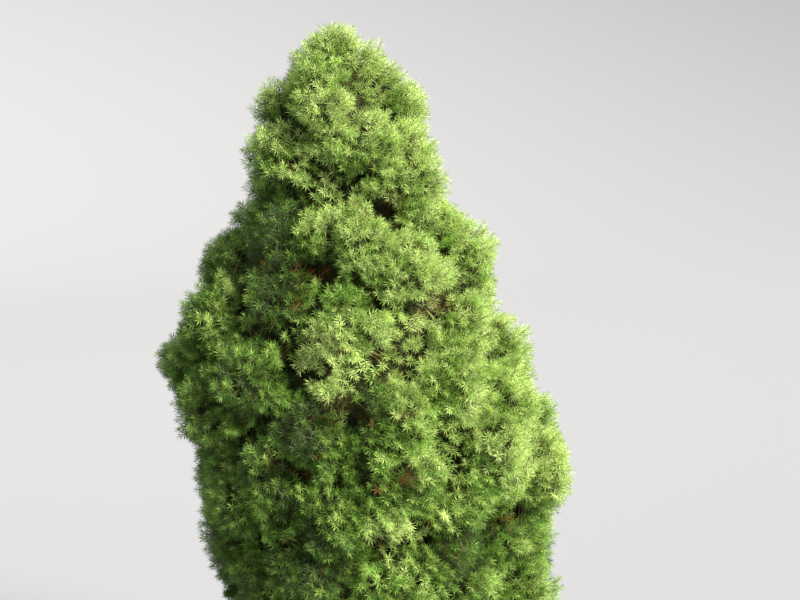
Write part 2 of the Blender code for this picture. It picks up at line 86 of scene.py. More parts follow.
def buildMesh(name, points, faces, material, smooth=False):
    # every face has the same number of corners, so loops are one flat array
    mesh = bpy.data.meshes.new(name)
    faces = np.asarray(faces, np.int32)
    mesh.vertices.add(len(points))
    mesh.vertices.foreach_set("co", np.asarray(points, np.float32).ravel())
    mesh.loops.add(faces.size)
    mesh.loops.foreach_set("vertex_index", faces.ravel())
    mesh.polygons.add(len(faces))
    mesh.polygons.foreach_set("loop_start", np.arange(len(faces), dtype=np.int32) * faces.shape[1])
    mesh.polygons.foreach_set("use_smooth", np.full(len(faces), smooth))
    mesh.update(calc_edges=True)
    mesh.materials.append(material)
    piece = bpy.data.objects.new(name, mesh)
    bpy.context.scene.collection.objects.link(piece)
    return piece


def keep(piece, slotName, *replaced):
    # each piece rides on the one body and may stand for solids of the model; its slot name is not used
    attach(piece, "root")
    if replaced:
        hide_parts(*replaced)
    return piece


def unit(vectors):
    # each vector over its own length, which is never taken as nought
    return vectors / np.maximum(np.linalg.norm(vectors, axis=-1, keepdims=True), 1e-12)


def frameAround(directions):
    # two unit vectors square to each direction, by crossing it with the axis it follows least
    least = np.eye(3)[np.abs(directions).argmin(-1)]
    across = unit(np.cross(directions, least))
    return across, np.cross(directions, across)


def waves(points, length, seed, count=9):
    # soft noise between about -1 and 1: plane waves in random directions, their wavelength near length
    rng = np.random.default_rng(seed)
    ways = unit(rng.normal(size=(count, 3))) * 2 * math.pi / (length * rng.uniform(0.7, 1.4, (count, 1)))
    return np.sin(points @ ways.T + rng.uniform(0, 2 * math.pi, count)).sum(-1) / math.sqrt(count)


def gridFaces(rows, columns):
    # quads of a grid of points, rows by columns, closed round the columns
    low = np.arange(rows - 1)[:, None] * columns
    side = np.arange(columns)
    after = (side + 1) % columns
    quads = np.stack([low + side, low + after, low + columns + after, low + columns + side], -1)
    return quads.reshape(-1, 4)


def closedFaces(rows, columns):
    # triangles of a closed body: its rings of points from foot to head, then the two points that close it
    quads = gridFaces(rows, columns)
    side = np.arange(columns)
    after = (side + 1) % columns
    last, end = (rows - 1) * columns, rows * columns
    foot = np.stack([after, side, np.full(columns, end)], 1)
    head = np.stack([last + side, last + after, np.full(columns, end + 1)], 1)
    return np.concatenate([quads[:, [0, 1, 2]], quads[:, [0, 2, 3]], foot, head])


def ringsAlong(lines, columns):
    # unit vectors round each point of each line, square to the line there. They start from one vector
    # per line, less its part along the line, so that they don't twist on the way
    ahead = unit(np.gradient(lines, axis=1))
    first = frameAround(unit(lines[:, -1] - lines[:, 0]))[0][:, None]
    across = unit(first - ahead * (first * ahead).sum(-1, keepdims=True))
    beside = np.cross(ahead, across)
    turn = (np.arange(columns) * 2 * math.pi / columns)[:, None]
    return across[:, :, None] * np.cos(turn) + beside[:, :, None] * np.sin(turn)


def tubes(lines, widths, columns):
    # many tapering tubes at once: lines is (tube, point, xyz) and widths (tube, point)
    rings = lines[:, :, None] + ringsAlong(lines, columns) * widths[:, :, None, None]
    count, rows = lines.shape[:2]
    points = np.concatenate([rings.reshape(count, -1, 3), lines[:, [0, -1]]], 1)
    faces = closedFaces(rows, columns) + np.arange(count)[:, None, None] * points.shape[1]
    return points.reshape(-1, 3), faces.reshape(-1, 3)


def spindles(root, foot, tip, width, columns=3):
    # many slim twigs at once, each a ring of points round its foot drawn out to its root and its tip
    across, beside = frameAround(unit(tip - root))
    turn = (np.arange(columns) * 2 * math.pi / columns)[:, None]
    ring = foot[:, None] + (across[:, None] * np.cos(turn) + beside[:, None] * np.sin(turn)) * width
    points = np.concatenate([ring, root[:, None], tip[:, None]], 1)
    faces = closedFaces(1, columns) + np.arange(len(root))[:, None, None] * (columns + 2)
    return points.reshape(-1, 3), faces.reshape(-1, 3)


def turned(radius, height, columns):
    # a profile of radius and height turned about the upright axis, with the points that close it
    turn = np.arange(columns) * 2 * math.pi / columns
    radius, height = np.asarray(radius)[:, None], np.asarray(height)[:, None]
    points = np.stack([radius * np.cos(turn), radius * np.sin(turn), height + 0 * turn], -1).reshape(-1, 3)
    return np.concatenate([points, [[0, 0, height[0, 0]], [0, 0, height[-1, 0]]]])


def joined(meshes):
    # several (points, faces) pairs as one
    points = np.concatenate([m[0] for m in meshes])
    starts = np.cumsum([0] + [len(m[0]) for m in meshes[:-1]])
    return points, np.concatenate([m[1] + s for m, s in zip(meshes, starts)])


# The crown's rule, as in the model's source: tiers of masses, each of three round lumps of shoots

crown = dict(
    tiers=(  # name, height, reach of the tips, masses, first azimuth in degrees, slope of its boughs
        ("skirt", 0.382, 0.240, 5, -62.0, 6.0), ("low", 0.492, 0.258, 6, -28.0, 10.0),
        ("belly", 0.602, 0.272, 6, 2.0, 14.0), ("waist", 0.718, 0.258, 5, -52.0, 18.0),
        ("shoulder", 0.834, 0.222, 4, -2.0, None), ("neck", 0.948, 0.168, 3, -42.0, None),
        ("cap", 1.052, 0.138, 3, 18.0, None),
    ),
    bulges=(  # azimuth, height, spread in degrees, spread in height, share of the reach
        (0.0, 0.400, 30.0, 0.050, 0.14), (2.0, 0.570, 24.0, 0.040, 0.24),
        (0.0, 0.650, 25.0, 0.030, 0.12), (0.0, 0.720, 30.0, 0.050, 0.02),
        (0.0, 0.820, 30.0, 0.035, 0.08), (0.0, 0.940, 40.0, 0.040, 0.05),
        (0.0, 1.065, 45.0, 0.030, 0.12), (180.0, 0.615, 26.0, 0.034, -0.17),
        (180.0, 0.780, 45.0, 0.090, 0.15), (180.0, 0.900, 35.0, 0.040, 0.10),
        (180.0, 0.985, 40.0, 0.035, -0.14),
    ),
    foot=0.300, footReach=0.190, domeHeight=1.140, domeReach=0.095, top=1.206, tipReach=0.030,
    soil=0.274, leanX=-0.084, leanY=0.012, sway=0.004,  # the trunk's line, from the mix's level up
    tierGap=0.114, widest=0.270, seed=11,
    lump=0.069, lumpRange=(0.84, 1.10), lumpReach=(0.95, 1.03),  # a lump's radius where the crown is widest
    lumpPower=0.4,  # lumps shrink as the tiers' reach to this power
    lumps=3, zigzag=0.23, shift=0.05, rise=0.09,  # for each mass, as shares of its width and the tiers' gap
    topLumps=3, topLump=0.052, topRange=(0.88, 1.0), topTurn=20.0, topShift=8.0,  # turns in degrees
    topRise=0.008, topOffset=0.044, topHeight=1.120,
    boughRadius=0.0072, boughTip=0.0042, boughPoints=4, boughReach=0.60, boughSag=0.010,
)


def axisAt(height):
    # the trunk's line: a lean that grows as height to the power 0.8, with a small sway
    height = np.asarray(height, float)
    share = np.clip((height - crown["soil"]) / (crown["top"] - crown["soil"]), 0, 1)
    sway = crown["sway"] * np.sin(3 * math.pi * share) * share
    return np.stack([crown["leanX"] * share**0.8 + sway, crown["leanY"] * share - sway, height], -1)


def reachAt(azimuth, height):
    # how far tips stand from the axis: a profile over height, swelled by round bulges
    heights = [crown["foot"]] + [t[1] for t in crown["tiers"]] + [crown["domeHeight"], crown["top"]]
    reaches = [crown["footReach"]] + [t[2] for t in crown["tiers"]] + [crown["domeReach"], crown["tipReach"]]
    swell = 1.0
    for middle, level, spread, tall, share in crown["bulges"]:
        turn = (azimuth - middle + 180) % 360 - 180
        swell = swell + share * np.exp(-((turn / spread) ** 2) - ((height - level) / tall) ** 2)
    return np.interp(height, heights, reaches) * swell


def growLumps():
    # round each tier the lumps zigzag up and down; the top has a ring of three round one at the tip
    rng = np.random.default_rng(crown["seed"])
    c, found, mass = crown, [], 0
    for name, level, tips, count, first, slope in c["tiers"]:
        pitch = 360 / count
        for k in range(count):
            middle = first + k * pitch + rng.uniform(-c["shift"], c["shift"]) * pitch
            for i in range(c["lumps"]):
                rise = c["zigzag"] if (c["lumps"] * k + i) % 2 else -c["zigzag"]
                spread = (i - (c["lumps"] - 1) / 2) / c["lumps"]
                azimuth = middle + (spread + rng.uniform(-c["shift"], c["shift"])) * pitch
                height = level + (rise + rng.uniform(-c["rise"], c["rise"])) * c["tierGap"]
                radius = c["lump"] * (tips / c["widest"]) ** c["lumpPower"] * rng.uniform(*c["lumpRange"])
                out = reachAt(azimuth, height) * rng.uniform(*c["lumpReach"]) - radius
                turn = math.radians(azimuth)
                centre = axisAt(height) + [out * math.cos(turn), out * math.sin(turn), 0]
                found.append((mass, *centre, radius, slope or 0.0))
            mass += 1
    for k in range(c["topLumps"]):
        shift = rng.uniform(-c["topShift"], c["topShift"])
        turn = math.radians(c["topTurn"] + 360 / c["topLumps"] * k + shift)
        radius = c["topLump"] * rng.uniform(*c["topRange"])
        centre = axisAt(c["topHeight"] + rng.uniform(-c["topRise"], c["topRise"]))
        centre = centre + [c["topOffset"] * math.cos(turn), c["topOffset"] * math.sin(turn), 0]
        found.append((mass, *centre, radius, 0.0))
    found.append((mass, *axisAt(c["top"] - c["topLump"]), c["topLump"], 0.0))
    return np.array(found)


lumps = growLumps()
owner = lumps[:, 0].astype(int)
centres, radii = lumps[:, 1:4], lumps[:, 4]
massCount = owner.max() + 1
middles = np.array([centres[owner == m].mean(0) for m in range(massCount)])
slopes = np.array([lumps[owner == m, 5][0] for m in range(massCount)])
print("crown laid out,", massCount, "masses of", len(lumps), "lumps")


def depthUnderCrown(points):
    # how far points lie inside the crown's tips, sideways or down from the top
    out = points - axisAt(points[:, 2])
    azimuth = np.degrees(np.arctan2(out[:, 1], out[:, 0]))
    sideways = reachAt(azimuth, points[:, 2]) - np.linalg.norm(out[:, :2], axis=1)
    return np.minimum(sideways, crown["top"] - points[:, 2])


def boughLine(mass, count):
    # a curve from the trunk's middle that sags a little and ends where the mass begins
    middle = middles[mass]
    flat = np.linalg.norm((middle - axisAt(middle[2]))[:2])
    start = axisAt(middle[2] - flat * math.tan(math.radians(slopes[mass])))
    end = start + (middle - start) * crown["boughReach"]
    bend = (start + end) / 2 - [0, 0, crown["boughSag"]]
    t = np.linspace(0, 1, count)[:, None]
    return (1 - t) ** 2 * start + 2 * t * (1 - t) * bend + t**2 * end


# Shoots: the short twigs that carry the needles, in sprays all over the crown's skin

shoots = dict(
    spacing=0.0138,  # from shoot to shoot, as the photograph shows them
    scatter=0.14,  # how far shoots stray from an even pattern, as a share of their spacing
    sink=0.004,  # tips stay this far under the lumps' outline, as the needles reach past them
    blend=0.006, pit=0.038,  # how softly the lumps run together, and how deep the pits between them go
    pitRise=0.02,  # the way out of a pit's floor is level but for this
    swell=(0.055, 0.0050),  # length and height of the soft waves that break up the lumps' roundness
    ragged=0.0030, raggedRange=(-0.006, 0.004),  # how far single tips stand in and out
    length=(0.011, 0.018), jitter=0.22, upward=0.13, outward=0.10, fan=0.55,
    potHeight=0.312, potRadius=0.200,  # kept clear round the pot's rim
)
sprays = dict(
    spacing=0.042, radius=0.025,  # from middle to middle, and where a shoot has sunk by all of the drop
    drop=0.007, lift=0.0040, liftRange=(-0.008, 0.006),  # and how far whole sprays stand in and out
)
innerShoots = dict(spacing=0.0210, sink=0.015)  # dying ones in the shade under the others
recesses = (  # on the photograph's side: x, height, half width, half height, depth, share of dying shoots
    (0.058, 0.845, 0.028, 0.018, 0.020, 0.98), (-0.014, 0.965, 0.019, 0.014, 0.014, 0.80),
    (-0.117, 0.890, 0.044, 0.015, 0.019, 0.75), (-0.113, 0.848, 0.018, 0.012, 0.014, 0.60),
    (-0.062, 0.711, 0.055, 0.015, 0.034, 0.35), (-0.130, 0.638, 0.034, 0.014, 0.025, 0.60),
    (0.160, 0.541, 0.025, 0.016, 0.022, 0.65), (0.016, 0.631, 0.024, 0.014, 0.022, 0.60),
    (0.129, 0.801, 0.023, 0.010, 0.020, 0.10), (-0.110, 1.066, 0.030, 0.015, 0.022, 0.10),
    (-0.041, 0.794, 0.016, 0.017, 0.020, 0.10), (0.044, 0.532, 0.015, 0.028, 0.024, 0.10),
)
paintedLightPatches = (  # on the same side: x, height, half width, half height, and painted light above 0 and painted shade below
    (-0.095, 0.795, 0.035, 0.040, 2.6), (0.020, 0.805, 0.040, 0.050, 2.6),
    (-0.085, 0.980, 0.045, 0.040, 0.6), (0.040, 0.985, 0.030, 0.055, 0.8),
    (-0.180, 0.750, 0.045, 0.050, -2.2), (-0.125, 0.685, 0.055, 0.030, -1.2),
    (-0.130, 0.900, 0.050, 0.035, -2.0), (0.010, 0.625, 0.050, 0.020, -1.3),
    (0.000, 0.550, 0.035, 0.035, 2.2), (0.115, 0.525, 0.065, 0.040, -2.0),
    (-0.150, 0.955, 0.030, 0.055, -1.9), (-0.050, 0.745, 0.035, 0.030, 0.9),
    (-0.135, 0.840, 0.040, 0.030, -1.5), (-0.050, 0.860, 0.030, 0.025, -0.8),
    (-0.080, 0.525, 0.050, 0.050, -2.0), (-0.135, 0.610, 0.040, 0.030, -1.2),
    (-0.060, 0.710, 0.060, 0.020, -1.6), (-0.010, 0.740, 0.015, 0.035, -1.6),
    (0.120, 0.700, 0.040, 0.035, 1.4), (0.195, 0.600, 0.040, 0.055, 1.2),
)
goldenTurn = math.pi * (3 - math.sqrt(5))
packing = 0.866  # a point's own area in a pattern of even triangles, over its spacing squared


def patchesAt(points, patches, column):
    # one of the patches' values, each times e to the minus squared distance from the patch's middle
    total = 0.0
    for patch in patches:
        x, height, wide, tall = patch[:4]
        near = np.exp(-(((points[:, 0] - x) / wide) ** 2) - ((points[:, 2] - height) / tall) ** 2)
        total = total + patch[column] * near * (points[:, 1] < axisAt(points[:, 2])[:, 1])
    return total


def crownSkin(points):
    # how far points are outside the crown's skin, the way straight out of it, and whose skin it is.
    # Lumps run together as soft clay does: the skin's distance is minus blend times the log of the sum
    # of e to the minus distance over blend. The last body is the floor of the pits between the lumps,
    # and recesses and soft waves sink or lift the whole skin
    towards = points[:, None] - centres
    away = np.linalg.norm(towards, axis=2)
    distance = np.concatenate([away - radii, (shoots["pit"] - depthUnderCrown(points))[:, None]], 1)
    nearest = distance.min(1, keepdims=True)
    share = np.exp((nearest - distance) / shoots["blend"])
    total = share.sum(1, keepdims=True)
    out = unit((points - axisAt(points[:, 2])) * [1, 1, 0] + [0, 0, shoots["pitRise"]])
    ways = (share[:, :-1, None] * towards / away[..., None]).sum(1) + share[:, -1:] * out
    gap = (nearest - shoots["blend"] * np.log(total))[:, 0] + patchesAt(points, recesses, 4)
    long, tall = shoots["swell"]
    return gap + waves(points, long, seed=18) * tall, unit(ways), distance.argmin(1)


def goldenPoints(spacing, rng, levels=300):
    # points a spacing apart: a golden-angle spiral over each lump, and one over the floor of the pits
    found, bodies = [], []
    for body, (centre, radius) in enumerate(zip(centres, radii)):
        count = int(4 * math.pi * radius**2 / (spacing**2 * packing))
        up = 1 - 2 * (np.arange(count) + rng.uniform(0, 1)) / count
        turn = np.arange(count) * goldenTurn + rng.uniform(0, 2 * math.pi)
        flat = np.sqrt(np.maximum(1 - up**2, 0))
        found.append(centre + radius * np.stack([flat * np.cos(turn), flat * np.sin(turn), up], -1))
        bodies.append(np.full(count, body))
    height = np.linspace(crown["foot"], crown["top"] - shoots["pit"], levels)
    area = np.cumsum(2 * math.pi * (reachAt(0.0, height) - shoots["pit"])) * (height[1] - height[0])
    count = int(area[-1] / (spacing**2 * packing))
    height = np.interp((np.arange(count) + 0.5) / count * area[-1], area, height)
    turn = np.arange(count) * goldenTurn
    reach = reachAt(np.degrees(turn), height) - shoots["pit"]
    found.append(axisAt(height) + np.stack([reach * np.cos(turn), reach * np.sin(turn), 0 * turn], -1))
    bodies.append(np.full(count, len(centres)))
    return np.concatenate(found), np.concatenate(bodies)


def pointsOnSkin(spacing, sink, seed, rounds=5):
    # golden points moved straight to the skin, less the sink, and kept where the skin is their own body's
    rng = np.random.default_rng(seed)
    points, bodies = goldenPoints(spacing, rng)
    points = points + rng.normal(0, shoots["scatter"] * spacing, points.shape)
    for _ in range(rounds):
        gap, normal, body = crownSkin(points)
        points = points - normal * (gap + sink)[:, None]
    nearPot = np.hypot(points[:, 0], points[:, 1]) < shoots["potRadius"]
    atPot = nearPot & (points[:, 2] < shoots["potHeight"])
    kept = (body == bodies) & ~atPot & (points[:, 2] > crown["foot"])
    return points[kept], normal[kept]


def nearestSpray(points):
    # squared distances by the rule of the cosine, which needs no table of differences
    square = (points**2).sum(1)[:, None] + (sprayMiddle**2).sum(1) - 2 * points @ sprayMiddle.T
    return square.argmin(1)


def growShoots(tip, normal, seed):
    # a shoot sinks by the square of its distance from its spray's middle and fans away from it, and
    # every one points a little up and a little astray
    rng = np.random.default_rng(seed)
    spray = nearestSpray(tip)
    aside = (tip - sprayMiddle[spray]) / sprays["radius"]
    stand = sprayLift[spray] - sprays["drop"] * np.minimum((aside**2).sum(1), 1.0)
    stand = stand + rng.normal(0, shoots["ragged"], len(tip)).clip(*shoots["raggedRange"])
    tip = tip + normal * stand[:, None]
    out = unit((tip - axisAt(tip[:, 2])) * [1, 1, 0])
    astray = rng.normal(0, shoots["jitter"], tip.shape)
    way = normal + aside * shoots["fan"] + out * shoots["outward"] + astray
    way[:, 2] += shoots["upward"]
    return tip, unit(way), rng.uniform(*shoots["length"], len(tip)), stand


blades = dict(
    perShoot=31, perInnerShoot=14,
    length=(0.0092, 0.0118), width=0.00070, widthRange=(0.85, 1.15),
    shoulder=0.34, setBack=0.045, pointUp=0.06,  # shares of its length: its widest place, and its fold
    lean=(84.0, 20.0), leanPower=2.8,  # degrees from the shoot at its foot and its tip; how late it turns
    shorter=0.2,  # at the shoot's tip, as a share
    strayAlong=0.02, strayTurn=0.25, strayLean=0.13,
)


def growNeedles(tip, way, length, count, seed):
    # needles wind up each shoot by the golden angle, leaning further forward towards its tip. A needle
    # is a folded blade: foot, point, and two shoulders set back from the line between them
    rng = np.random.default_rng(seed)
    size = (len(tip), count)
    across, beside = frameAround(way)
    t = np.clip((np.arange(count) + 0.5) / count + rng.normal(0, blades["strayAlong"], size), 0, 1)
    turn = np.arange(count) * goldenTurn + rng.uniform(0, 2 * math.pi, (len(tip), 1))
    turn = (turn + rng.normal(0, blades["strayTurn"], size))[..., None]
    low, high = np.radians(blades["lean"])
    lean = low + (high - low) * t ** blades["leanPower"] + rng.normal(0, blades["strayLean"], size)
    lean = lean[..., None]
    foot = tip[:, None] - way[:, None] * (length[:, None] * (1 - t))[..., None]
    side = across[:, None] * np.cos(turn) + beside[:, None] * np.sin(turn)
    along = way[:, None] * np.cos(lean) + side * np.sin(lean)
    lift = way[:, None] * np.sin(lean) - side * np.cos(lean)  # square to the needle, on its shoot's tip side
    long = (rng.uniform(*blades["length"], size) * (1 - blades["shorter"] * t**3))[..., None]
    wide = blades["width"] / 2 * rng.uniform(*blades["widthRange"], size)
    half = np.cross(along, lift) * wide[..., None]
    middle = foot + along * long * blades["shoulder"] - lift * long * blades["setBack"]
    point = foot + along * long + lift * long * blades["pointUp"]
    return np.stack([foot, point, middle - half, middle + half], 2).reshape(-1, 4, 3), t.ravel()


def bladeMesh(corners):
    # two triangles a needle, meeting along its ridge and facing its shoot's tip side
    faces = np.arange(len(corners))[:, None, None] * 4 + np.array([[0, 3, 1], [0, 1, 2]])
    return corners.reshape(-1, 3), faces.reshape(-1, 3)


sprayMiddle = pointsOnSkin(sprays["spacing"], shoots["sink"], seed=20)[0]
sprayLift = np.random.default_rng(19).normal(0, sprays["lift"], len(sprayMiddle))
sprayLift = sprayLift.clip(*sprays["liftRange"])
outerTip, outerNormal = pointsOnSkin(shoots["spacing"], shoots["sink"], seed=21)
outerTip, outerWay, outerLength, outerStand = growShoots(outerTip, outerNormal, seed=22)
innerTip, innerNormal = pointsOnSkin(innerShoots["spacing"], innerShoots["sink"], seed=31)
innerTip, innerWay, innerLength = growShoots(innerTip, innerNormal, seed=32)[:3]
dying = np.random.default_rng(24).uniform(0, 1, len(outerTip)) < patchesAt(outerTip, recesses, 5)
innerTip = np.concatenate([innerTip, outerTip[dying]])
innerWay = np.concatenate([innerWay, outerWay[dying]])
innerLength = np.concatenate([innerLength, outerLength[dying]])
outerTip, outerWay, outerLength, outerStand, outerNormal = (
    values[~dying] for values in (outerTip, outerWay, outerLength, outerStand, outerNormal))
print("shoots placed,", len(outerTip), "outside and", len(innerTip), "dying ones within, in",
      len(sprayMiddle), "sprays")


# Needles, dealt out by shoot into tones from bottle green shade to lime

tones = dict(
    names=("bottlegreen", "deepgreen", "moss", "leafgreen", "fresh", "spring", "lime"),
    colours=("#405B2A", "#4A672A", "#5A8231", "#719A3E", "#88B04C", "#A4C866", "#C3DD82"),
    shares=(0.13, 0.14, 0.16, 0.17, 0.15, 0.13, 0.12),
    # what makes needles paler, with its weight: their clump's luck, how far their shoot stands out of the
    # crown (young growth, with painted shade on sunk shoots), how far it faces the sun (painted sunlight),
    # their shoot's own luck and theirs, and their place along the shoot
    clumpSize=0.085, byClump=0.40, standOut=0.006, byPlace=0.35, sun=(0.62, -0.52, 0.58), bySun=0.85,
    byShoot=0.42, byNeedle=0.20, tipBrighter=1.0, tipPower=4,
    lightward=(0.9, 0.0, 1.7), byPaintedLight=0.9,  # painted light: paler by so much a metre along x and z, and painted light and shade in the patches
)
underTones = dict(
    names=("rust", "straw", "olive", "shade"),
    colours=("#80522A", "#9A7C42", "#454B1E", "#304620"),
    shares=(0.10, 0.06, 0.30, 0.54),
    patchSize=0.070, byPatch=1.6, byRecess=3.0,
)


def shaded(colour, amount):
    # a hex colour made lighter or darker by a share
    channels = [int(colour[i:i + 2], 16) * amount for i in (1, 3, 5)]
    return "#%02X%02X%02X" % tuple(min(255, int(c)) for c in channels)


def needleMaterial(name, colour):
    # spruce needles: waxy green blades with a soft satin gleam, their colour wandering by a few percent
    material, tree, shader = newMaterial("spruceNeedle_" + name, Roughness=0.46, IOR=1.45,
                                         Specular_IOR_Level=0.36)
    vector = addNode(tree, "ShaderNodeTexCoord").outputs["Object"]
    noise = addNode(tree, "ShaderNodeTexNoise", {"Vector": vector}, Scale=perMetre(18), Detail=2.0)
    ramp = addNode(tree, "ShaderNodeValToRGB", {"Fac": noise.outputs["Fac"]},
                   ((0.3, shaded(colour, 0.86)), (0.7, shaded(colour, 1.12))))
    tree.links.new(ramp.outputs["Color"], shader.inputs["Base Color"])
    return material


def dealNeedles(corners, score, family):
    # tones go by rank of the score, so each one takes its share of the needles
    rank = np.empty(len(score))
    rank[np.argsort(score, kind="stable")] = np.arange(len(score)) / len(score)
    tone = np.searchsorted(np.cumsum(family["shares"])[:-1], rank, side="right")
    for k, (name, colour) in enumerate(zip(family["names"], family["colours"])):
        points, faces = bladeMesh(corners[tone == k])
        keep(buildMesh("needles_" + name, points, faces, needleMaterial(name, colour)), "needles")
        print("needles of", name, "with", len(faces), "triangles")


rng = np.random.default_rng(41)
score = waves(outerTip, tones["clumpSize"], seed=42) * tones["byClump"]
# young growth that stands out is paler, and shoots sunk into the crown get painted shade
score += outerStand / tones["standOut"] * tones["byPlace"]
# painted sunlight: needles whose skin faces the sun are paler
score += outerNormal @ unit(np.array(tones["sun"])) * tones["bySun"]
# each shoot's own luck, and painted light: paler up the crown and on the sun's side
score += rng.normal(0, tones["byShoot"], len(outerTip)) + outerTip @ tones["lightward"]
# painted light and shade: paler and darker patches of needles on the front of the crown
score += patchesAt(sprayMiddle[nearestSpray(outerTip)], paintedLightPatches, 4) * tones["byPaintedLight"]
corners, along = growNeedles(outerTip, outerWay, outerLength, blades["perShoot"], seed=23)
score = np.repeat(score, blades["perShoot"]) + along ** tones["tipPower"] * tones["tipBrighter"]
score += rng.normal(0, tones["byNeedle"], len(score))
dealNeedles(corners, score, tones)
corners, along = growNeedles(innerTip, innerWay, innerLength, blades["perInnerShoot"], seed=33)
score = waves(innerTip, underTones["patchSize"], seed=43) * underTones["byPatch"]
score += rng.normal(0, 1, len(innerTip))
score -= patchesAt(innerTip, recesses, 5) * underTones["byRecess"]
dealNeedles(corners, np.repeat(score, blades["perInnerShoot"]), underTones)


# Twigs: one to each shoot from within its lump, and the stems and branchlets that feed the lumps

twigs = dict(
    width=0.0010, start=0.62,  # a twig starts this share of the way from its lump's middle to its shoot
    longest=0.022,  # from there to the shoot's foot
    stem=0.0042, feeder=0.0022, taper=0.5, linePoints=4,
    stemDrop=0.6, stemTop=1.076,  # upper stems leave the trunk lower by this share of their reach
    branchlets=7, branchletReach=0.62,
    bark=("#7A7844", "#8E9350"), oldBark=("#4A3626", "#7A6248"),
)


def twigMaterial(name, dark, light):
    # young spruce twigs, and bark chips and shed needles too: thin and dry, buff to olive brown, matt
    material, tree, shader = newMaterial(name, Roughness=0.75, IOR=1.45)
    vector = addNode(tree, "ShaderNodeTexCoord").outputs["Object"]
    noise = addNode(tree, "ShaderNodeTexNoise", {"Vector": vector}, Scale=perMetre(8), Detail=3.0)
    ramp = addNode(tree, "ShaderNodeValToRGB", {"Fac": noise.outputs["Fac"]}, ((0.35, dark), (0.65, light)))
    tree.links.new(ramp.outputs["Color"], shader.inputs["Base Color"])
    return material


def twigMesh(tip, way, length):
    # from a point on the line between the nearest lump's middle and the shoot's foot, by the foot to the tip
    near = np.linalg.norm(tip[:, None] - centres, axis=2) - radii
    heart = centres[near.argmin(1)]
    foot = tip - way * length[:, None]
    inward = (heart - foot) * (1 - twigs["start"])
    inward *= np.minimum(1, twigs["longest"] / np.linalg.norm(inward, axis=1, keepdims=True))
    return spindles(foot + inward, foot, tip, twigs["width"])


def branchletLines():
    # a stem from its bough's tip, or from the trunk, to the middle of its mass, a feeder from there to
    # each lump, and branchlets that stand out from the lump's heart in all directions
    stems, feeders = [], []
    count = twigs["linePoints"]
    for mass, middle in enumerate(middles):
        if slopes[mass]:
            start = boughLine(mass, crown["boughPoints"])[-1]
        else:
            drop = np.linalg.norm((middle - axisAt(middle[2]))[:2]) * twigs["stemDrop"]
            start = axisAt(min(middle[2] - drop, twigs["stemTop"]))
        stems.append(np.linspace(start, middle, count))
        feeders += [np.linspace(middle, centre, count) for centre in centres[owner == mass]]
    rng = np.random.default_rng(50)
    for centre, radius in zip(centres, radii):
        ends = centre + unit(rng.normal(size=(twigs["branchlets"], 3))) * radius * twigs["branchletReach"]
        feeders += [np.linspace(centre, end, count) for end in ends]
    widths = np.array([twigs["stem"]] * len(stems) + [twigs["feeder"]] * len(feeders))
    return np.array(stems + feeders), widths[:, None] * np.linspace(1, twigs["taper"], count)


twigBark = twigMaterial("twigBark", *twigs["bark"])
keep(buildMesh("twigs", *twigMesh(outerTip, outerWay, outerLength), twigBark), "bark")
keep(buildMesh("inner_twigs", *twigMesh(innerTip, innerWay, innerLength), twigBark), "bark")
branchBark = twigMaterial("branchBark", *twigs["oldBark"])
keep(buildMesh("branchlets", *tubes(*branchletLines(), 5), branchBark), "bark")
print("twigs grown,", len(outerTip) + len(innerTip))


# The dead thicket within: shed needles and fine dead twigs so dense that no light comes through, coloured
# near black as painted shade

thicket = dict(
    core=0.56, coreFuzz=(0.016, 0.0030),  # a lump's heart: share of its radius; length and height of fuzz
    mostSunk=0.6,  # recesses sink it by no more than this share of its radius
    lining=(0.058, 0.030),  # this far within the tips, and this much further where the crown is widest
    liningHeights=(0.330, 1.130), liningFuzz=(0.020, 0.004), liningLeast=0.004,
)


def thicketShadeMaterial():
    # spent spruce needles caught on dead twigs: dull browns and olive, darkened to near black as painted
    # shade within the crown, quite matt, rough at needle size
    material, tree, shader = newMaterial("deadThicketPaintedShade", Roughness=0.95, IOR=1.4)
    vector = addNode(tree, "ShaderNodeTexCoord").outputs["Object"]
    patch = addNode(tree, "ShaderNodeTexNoise", {"Vector": vector},
                    Scale=perMetre(22), Detail=5.0, Roughness=0.7)
    ramp = addNode(tree, "ShaderNodeValToRGB", {"Fac": patch.outputs["Fac"]},
                   ((0.32, "#1B1E0B"), (0.48, "#2D3411"), (0.60, "#44441D"), (0.74, "#624928")))
    fuzz = addNode(tree, "ShaderNodeTexNoise", {"Vector": vector}, Scale=perMetre(2.4), Detail=3.0)
    bump = addNode(tree, "ShaderNodeBump", {"Height": fuzz.outputs["Fac"]}, Strength=1.0, Distance=0.004)
    tree.links.new(ramp.outputs["Color"], shader.inputs["Base Color"])
    tree.links.new(bump.outputs["Normal"], shader.inputs["Normal"])
    return material


def ballMesh(centre, radius, rows=12, columns=22):
    # a sphere's rings from its foot to its head, pushed in and out by soft noise and in by recesses
    v = np.linspace(math.pi, 0, rows + 2)[1:-1]
    ball = turned(np.sin(v), np.cos(v), columns)
    ball[-2:] = [[0, 0, -1], [0, 0, 1]]
    points = centre + ball * radius
    length, height = thicket["coreFuzz"]
    sunk = np.minimum(patchesAt(points, recesses, 4), thicket["mostSunk"] * radius)
    push = waves(points, length, seed=77) * height - sunk
    return points + ball * push[:, None], closedFaces(rows, columns)


def liningMesh(rows=90, columns=120):
    # the crown's own profile drawn in, less where it is narrow: a turned surface about the leaning axis
    height = np.linspace(*thicket["liningHeights"], rows)[:, None]
    azimuth = np.arange(columns) * 360 / columns
    turn = np.radians(azimuth)
    out = np.stack([np.cos(turn), np.sin(turn), 0 * turn], -1)
    reach = reachAt(azimuth, height)
    least, more = thicket["lining"]
    radius = reach - least - more * (reach / crown["widest"]) ** 2
    radius = np.maximum(radius, thicket["liningLeast"])
    line = axisAt(height[:, 0])
    points = line[:, None] + out * radius[..., None]
    length, tall = thicket["liningFuzz"]
    points = points + out * (waves(points, length, seed=78) * tall)[..., None]
    return np.concatenate([points.reshape(-1, 3), line[[0, -1]]]), closedFaces(rows, columns)


